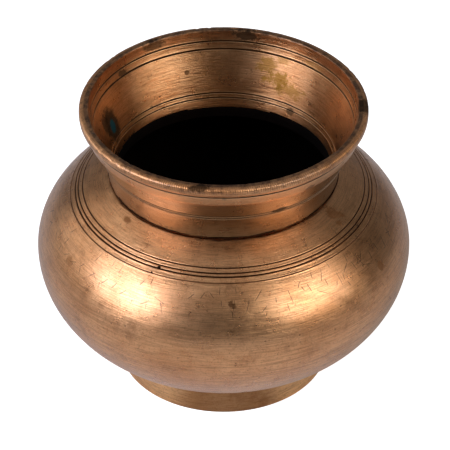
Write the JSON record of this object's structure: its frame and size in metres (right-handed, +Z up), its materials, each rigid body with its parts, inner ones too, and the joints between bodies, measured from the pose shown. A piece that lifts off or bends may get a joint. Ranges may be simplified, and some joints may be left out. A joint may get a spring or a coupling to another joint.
{
  "type": "lota water pot",
  "caption": "Round-bellied metal water pot with a narrow neck, a flared mouth with a flat lip, incised lines and a foot ring.",
  "frame": {"origin": "centre of the foot ring, on the surface that the pot stands on", "axes": "+Z up along the pot's axis of revolution, +X to the right and -Y towards the viewer"},
  "size_m": [0.119, 0.119, 0.0964],
  "materials": {
    "body_metal": "satin turned and aged, fine lines around the axis",
    "foot_metal": "satin turned and aged, darker",
    "braze": "dull dark filler metal"
  },
  "bodies": {
    "root": {"foot_ring": "foot_metal", "foot_braze": "braze", "bowl_shell": "body_metal", "belly_braze": "braze", "shoulder_shell": "body_metal", "neck_braze": "braze", "mouth_collar": "body_metal"}
  },
  "joints": []
}
